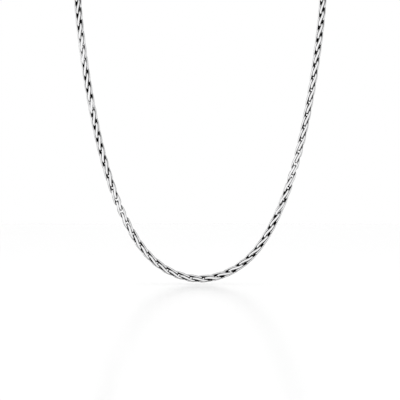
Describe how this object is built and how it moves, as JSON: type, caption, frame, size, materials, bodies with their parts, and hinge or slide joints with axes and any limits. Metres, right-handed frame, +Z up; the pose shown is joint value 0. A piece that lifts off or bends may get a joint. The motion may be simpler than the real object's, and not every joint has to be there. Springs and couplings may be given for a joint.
{
  "type": "wheat chain necklace",
  "caption": "Round wheat chain of twisted oval wire links, a closed necklace loop that hangs in a deep U in front and closes with a clasp at the nape.",
  "frame": {"origin": "the middle of the clasp, where the chain hangs on the nape of the neck", "axes": "+Z up, -Y to the front, where the chain hangs in a U, and +X to the right as seen from the front"},
  "size_m": [0.1215, 0.0451, 0.1751],
  "materials": {
    "chain_silver": "polished silver wire, darkened in the recesses between the links",
    "ring_silver": "polished silver wire with fine rub marks",
    "clasp_silver": "polished cast silver with fine rub marks"
  },
  "bodies": {
    "root": {"chain_left": "chain_silver", "chain_right": "chain_silver", "end_ring_left": "ring_silver", "end_ring_right": "ring_silver", "clasp": "clasp_silver"}
  },
  "joints": []
}
